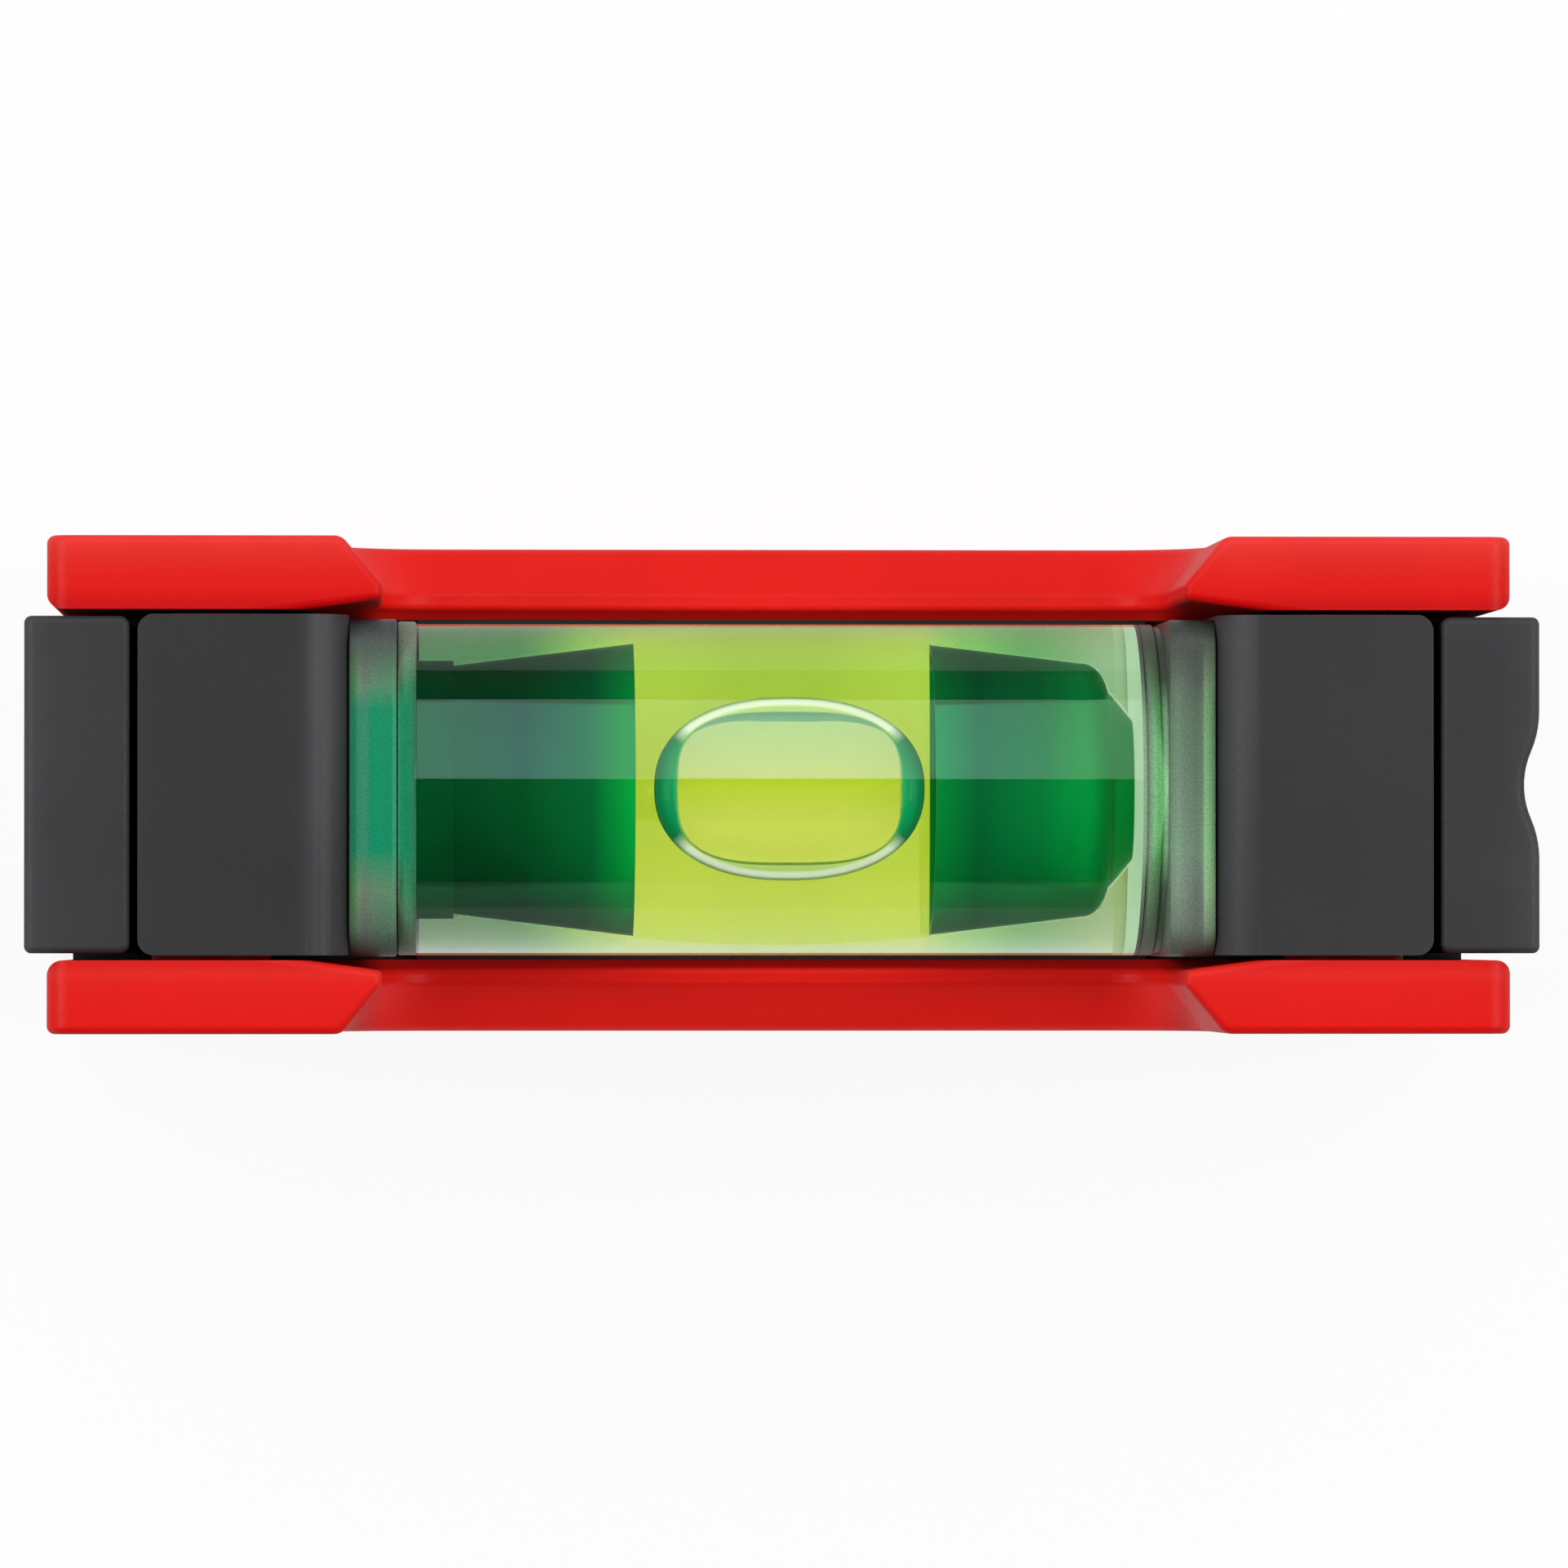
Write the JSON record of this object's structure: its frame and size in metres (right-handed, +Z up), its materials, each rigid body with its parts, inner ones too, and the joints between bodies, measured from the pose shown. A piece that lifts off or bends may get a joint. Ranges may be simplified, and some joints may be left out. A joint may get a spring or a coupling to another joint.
{
  "type": "magnetic mini spirit level",
  "caption": "Pocket spirit level: horizontal tubular vial in a dark core between side covers with open windows, grooved magnetic measuring face below.",
  "frame": {"origin": "middle of the measuring face at the bottom of the level", "axes": "+X along the length towards the end with the shallow hollow, +Y across the width, +Z up from the measuring face"},
  "size_m": [0.075, 0.0246, 0.036],
  "materials": {
    "core_plastic": "fine-grained dark grey moulded plastic",
    "cover_plastic": "satin bright red moulded plastic",
    "clear_acrylic": "polished clear acrylic with a faint green tint",
    "green_film": "smooth deep green translucent film",
    "lime_liquid": "clear lime-coloured liquid",
    "bubble": "air",
    "pale_plastic": "smooth pale lime plastic",
    "nickel": "nickel-plated magnet disc"
  },
  "bodies": {
    "root": {"chassis": "core_plastic", "left_end_block": "core_plastic", "right_end_block": "core_plastic", "left_vial_block": "core_plastic", "right_vial_block": "core_plastic", "front_cover": "cover_plastic", "rear_cover": "cover_plastic", "vial_body": "clear_acrylic", "vial_plug": "clear_acrylic", "left_mark_sleeve": "green_film", "right_mark_sleeve": "green_film", "vial_liquid": "lime_liquid", "air_bubble": "bubble", "reflector_strip": "pale_plastic", "magnet_left": "nickel", "magnet_right": "nickel"}
  },
  "joints": []
}
